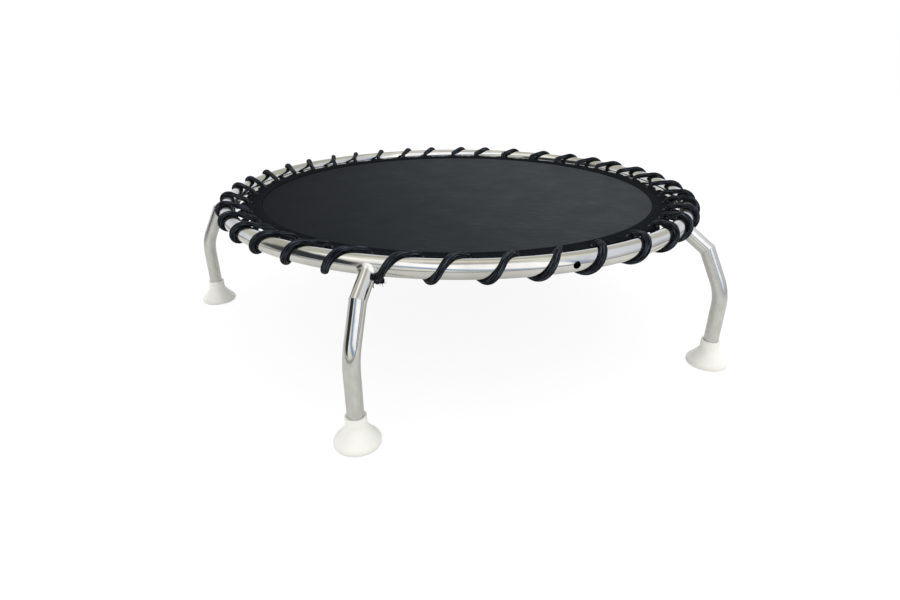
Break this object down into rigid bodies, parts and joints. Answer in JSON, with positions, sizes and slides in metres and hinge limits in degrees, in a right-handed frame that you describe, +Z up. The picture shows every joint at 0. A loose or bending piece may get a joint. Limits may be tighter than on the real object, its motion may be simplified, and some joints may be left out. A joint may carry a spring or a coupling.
{
  "type": "aqua trampoline",
  "caption": "Round underwater trampoline: bent steel tube rim on splayed bent legs with rubber feet, and a dark mat laced to the rim with elastic cord.",
  "frame": {"origin": "middle of the mat's top face", "axes": "+Z up, out of the mat's top face; -Y towards one of the legs; +X to its right seen from outside that leg"},
  "size_m": [1.2004, 1.1552, 0.2924],
  "materials": {
    "polished_steel": "mirror polished stainless tube",
    "satin_steel": "satin stainless tube",
    "white_rubber": "matt moulded white rubber",
    "mat_cloth": "tight plain weave of plastic yarn",
    "border_webbing": "folded and stitched webbing",
    "black_eyelet": "black coated",
    "elastic_cord": "braided cover over rubber strands"
  },
  "bodies": {
    "frame": {"rim_ring": "polished_steel", "leg_stub_1": "polished_steel", "leg_stub_2": "polished_steel", "leg_stub_3": "polished_steel", "leg_stub_4": "polished_steel", "leg_stub_5": "polished_steel", "leg_tube_1": "satin_steel", "leg_tube_2": "satin_steel", "leg_tube_3": "satin_steel", "leg_tube_4": "satin_steel", "leg_tube_5": "satin_steel", "foot_1": "white_rubber", "foot_2": "white_rubber", "foot_3": "white_rubber", "foot_4": "white_rubber", "foot_5": "white_rubber", "bungee_cord": "elastic_cord", "cord_knot": "elastic_cord"},
    "mat": {"jump_mat": "mat_cloth", "mat_border": "border_webbing", "eyelet_01": "black_eyelet", "eyelet_02": "black_eyelet", "eyelet_03": "black_eyelet", "eyelet_04": "black_eyelet", "eyelet_05": "black_eyelet", "eyelet_06": "black_eyelet", "eyelet_07": "black_eyelet", "eyelet_08": "black_eyelet", "eyelet_09": "black_eyelet", "eyelet_10": "black_eyelet", "eyelet_11": "black_eyelet", "eyelet_12": "black_eyelet", "eyelet_13": "black_eyelet", "eyelet_14": "black_eyelet", "eyelet_15": "black_eyelet", "eyelet_16": "black_eyelet", "eyelet_17": "black_eyelet", "eyelet_18": "black_eyelet", "eyelet_19": "black_eyelet", "eyelet_20": "black_eyelet", "eyelet_21": "black_eyelet", "eyelet_22": "black_eyelet", "eyelet_23": "black_eyelet", "eyelet_24": "black_eyelet", "eyelet_25": "black_eyelet", "eyelet_26": "black_eyelet", "eyelet_27": "black_eyelet", "eyelet_28": "black_eyelet", "eyelet_29": "black_eyelet", "eyelet_30": "black_eyelet", "eyelet_31": "black_eyelet", "eyelet_32": "black_eyelet", "eyelet_33": "black_eyelet", "eyelet_34": "black_eyelet", "eyelet_35": "black_eyelet", "eyelet_36": "black_eyelet", "eyelet_37": "black_eyelet", "eyelet_38": "black_eyelet"}
  },
  "joints": [
    {"name": "mat_bounce", "type": "slide", "parent": "frame", "child": "mat", "axis": [0, 0, 1], "range_m": [-0.06, 0.02], "stiffness_N_per_m": 10000, "springref_m": 0.0015, "deforming": ["bungee_cord"]}
  ]
}
